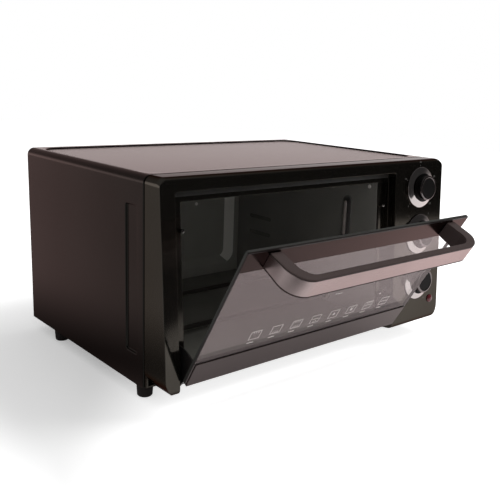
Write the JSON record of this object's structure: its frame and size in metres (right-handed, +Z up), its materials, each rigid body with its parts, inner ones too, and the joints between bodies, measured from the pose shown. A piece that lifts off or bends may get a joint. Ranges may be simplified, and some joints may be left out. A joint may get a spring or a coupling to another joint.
{
  "type": "toaster oven",
  "caption": "Countertop toaster oven: a boxy painted casing with a raked gloss front, a bottom-hinged glass door standing ajar, a loop handle and a column of round knobs.",
  "frame": {"origin": "on the surface that the feet stand on, under the middle of the whole object's bounding box with the door ajar", "axes": "+Z up; -Y out of the oven's front, towards the user; +X to the user's right, towards the knobs"},
  "size_m": [0.46, 0.4634, 0.245],
  "materials": {
    "casing_paint": "satin dark brown-black powder coat",
    "fascia_gloss": "gloss black moulding",
    "bare_steel": "plain zinc-plated sheet and wire",
    "bumper_chrome": "small bright stop buttons",
    "hinge_black": "black-coated pressed steel",
    "cavity_enamel": "glossy dark grey heat-proof coat",
    "heater_sheath": "steel-sheathed element, slightly browned",
    "bush_ceramic": "matt cream steatite",
    "bulb_copper": "plated copper capillary bulb",
    "foot_rubber": "matt black rubber",
    "gland_plastic": "black nylon cord bush",
    "control_plastic": "natural moulding",
    "knob_chrome": "bright chrome on plastic",
    "knob_black": "satin black grip",
    "lamp_red": "dull red lens",
    "door_glass": "tempered glass with a faint warm reflective tint",
    "rail_paint": "dark taupe semi-gloss",
    "handle_plastic": "dark taupe moulding",
    "handle_steel": "light taupe brushed face"
  },
  "bodies": {
    "casing": {"casing_wrapper": "casing_paint", "rear_panel": "casing_paint", "front_fascia": "fascia_gloss", "base_pan": "bare_steel", "control_plate": "bare_steel", "rear_screw_1": "bare_steel", "rear_screw_2": "bare_steel", "rear_screw_3": "bare_steel", "rear_screw_4": "bare_steel", "lower_heater_clip": "bare_steel", "upper_heater_clip": "bare_steel", "thermostat_bulb_clip": "bare_steel", "hinge_pin_left": "bare_steel", "hinge_pin_right": "bare_steel", "hinge_bracket_left": "bare_steel", "hinge_bracket_right": "bare_steel", "door_bumper_left": "bumper_chrome", "door_bumper_right": "bumper_chrome", "cavity_liner": "cavity_enamel", "cavity_back": "cavity_enamel", "cavity_floor": "cavity_enamel", "lower_heater": "heater_sheath", "upper_heater": "heater_sheath", "lower_heater_bush_front": "bush_ceramic", "lower_heater_bush_rear": "bush_ceramic", "upper_heater_bush_front": "bush_ceramic", "upper_heater_bush_rear": "bush_ceramic", "thermostat_bulb": "bulb_copper", "foot_front_left": "foot_rubber", "foot_front_right": "foot_rubber", "foot_rear_left": "foot_rubber", "foot_rear_right": "foot_rubber", "cord_gland": "gland_plastic", "thermostat_body": "control_plastic", "function_switch_body": "control_plastic", "timer_body": "control_plastic", "pilot_lamp_body": "control_plastic", "pilot_lamp_lens": "lamp_red"},
    "door": {"door_glass": "door_glass", "door_rail": "rail_paint", "handle_bar": "handle_plastic", "handle_face": "handle_steel", "handle_screw_left": "bare_steel", "handle_screw_right": "bare_steel", "hinge_arm_left": "hinge_black", "hinge_arm_right": "hinge_black"},
    "thermostat_knob": {"thermostat_shaft": "bare_steel", "thermostat_knob_skirt": "knob_chrome", "thermostat_knob_grip": "knob_black", "thermostat_knob_trim": "knob_chrome"},
    "function_switch_knob": {"function_switch_shaft": "bare_steel", "function_switch_knob_skirt": "knob_chrome", "function_switch_knob_grip": "knob_black", "function_switch_knob_trim": "knob_chrome"},
    "timer_knob": {"timer_shaft": "bare_steel", "timer_knob_skirt": "knob_chrome", "timer_knob_grip": "knob_black", "timer_knob_trim": "knob_chrome"}
  },
  "joints": [
    {"name": "door_hinge", "type": "hinge", "parent": "casing", "child": "door", "pos_m": [0, -0.08311, 0.0308], "axis": [1, 0, 0], "range_deg": [-34.5, 48.5]},
    {"name": "thermostat_turn", "type": "hinge", "parent": "casing", "child": "thermostat_knob", "pos_m": [0.181, -0.08324, 0.209], "axis": [0, 0.9975, -0.07], "range_deg": [0, 270]},
    {"name": "function_switch_turn", "type": "hinge", "parent": "casing", "child": "function_switch_knob", "pos_m": [0.181, -0.08766, 0.146], "axis": [0, 0.9975, -0.07], "range_deg": [0, 240]},
    {"name": "timer_turn", "type": "hinge", "parent": "casing", "child": "timer_knob", "pos_m": [0.181, -0.09208, 0.083], "axis": [0, 0.9975, -0.07], "range_deg": [0, 300]}
  ]
}
